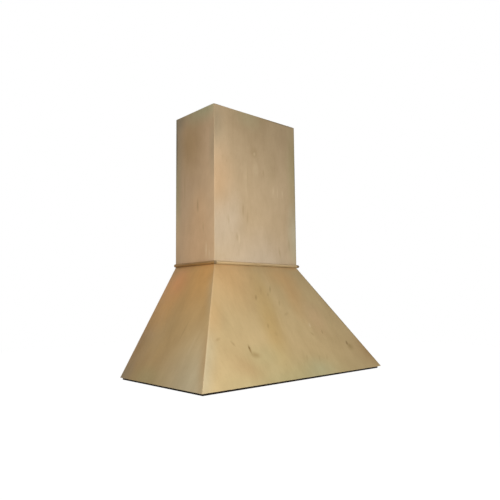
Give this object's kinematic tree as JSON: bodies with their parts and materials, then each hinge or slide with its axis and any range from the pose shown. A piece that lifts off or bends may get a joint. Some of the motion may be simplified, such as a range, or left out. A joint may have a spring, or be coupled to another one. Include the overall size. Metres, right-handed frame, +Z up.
{
  "type": "wooden range hood cover",
  "caption": "Tapered wooden range hood cover with a straight chimney, black sheet-metal liner and hanging cleat.",
  "frame": {"origin": "on the wall plane, midway between the two stud screws of the wall cleat that carries the cover", "axes": "+X to the right seen from the room, +Y into the wall, -Y to the room, +Z up"},
  "size_m": [0.914, 0.482, 1.012],
  "materials": {
    "maple_veneer_ply": "bare sanded maple veneer on plywood",
    "solid_maple": "bare solid maple moulding",
    "tongue_ply": "cut plywood strip",
    "pine_block": "sawn pine",
    "pine_rail": "planed pine",
    "birch_ply": "birch plywood",
    "cleat_ply": "birch plywood",
    "beech_dowel": "fluted beech dowel",
    "zinc_screw": "zinc-plated steel",
    "black_screw": "black oxide steel",
    "aluminium_rivet": "plain blind rivet",
    "black_liner": "black powder coat on sheet steel"
  },
  "bodies": {
    "wall_mount": {"wall_cleat": "cleat_ply"},
    "canopy": {"base_dowels": "beech_dowel", "base_rail_back": "pine_rail", "base_rail_front": "pine_rail", "base_rail_left": "pine_rail", "base_rail_right": "pine_rail", "canopy_front_panel": "maple_veneer_ply", "canopy_left_panel": "maple_veneer_ply", "canopy_right_panel": "maple_veneer_ply", "hip_block_left_lower": "pine_block", "hip_block_left_upper": "pine_block", "hip_block_right_lower": "pine_block", "hip_block_right_upper": "pine_block", "hip_tongue_left": "tongue_ply", "hip_tongue_right": "tongue_ply", "hood_cleat": "cleat_ply", "hood_cleat_screws": "zinc_screw", "insert_rail_back": "pine_rail", "insert_rail_front": "pine_rail", "insert_rail_screws": "black_screw", "liner_back": "black_liner", "liner_front": "black_liner", "liner_left": "black_liner", "liner_right": "black_liner", "liner_rivets": "aluminium_rivet", "liner_screws": "black_screw", "liner_top": "black_liner", "neck_back": "birch_ply", "neck_front": "birch_ply", "neck_left": "birch_ply", "neck_right": "birch_ply", "neck_screws": "zinc_screw", "top_dowels": "beech_dowel", "top_rail_back": "pine_rail", "top_rail_front": "pine_rail", "top_rail_left": "pine_rail", "top_rail_right": "pine_rail"},
    "chimney": {"bead_front": "solid_maple", "bead_left": "solid_maple", "bead_right": "solid_maple", "chimney_block_left_lower": "pine_block", "chimney_block_left_upper": "pine_block", "chimney_block_right_lower": "pine_block", "chimney_block_right_upper": "pine_block", "chimney_front_panel": "maple_veneer_ply", "chimney_left_panel": "maple_veneer_ply", "chimney_rail_lower": "pine_rail", "chimney_rail_upper": "pine_rail", "chimney_right_panel": "maple_veneer_ply", "chimney_stretcher": "pine_rail", "chimney_tongue_left": "tongue_ply", "chimney_tongue_right": "tongue_ply"}
  },
  "joints": [
    {"name": "canopy_unhook", "type": "slide", "parent": "wall_mount", "child": "canopy", "axis": [0, 0, 1], "range_m": [0, 0.022]},
    {"name": "chimney_lift", "type": "slide", "parent": "canopy", "child": "chimney", "axis": [0, 0, 1], "range_m": [0, 0.048]}
  ]
}
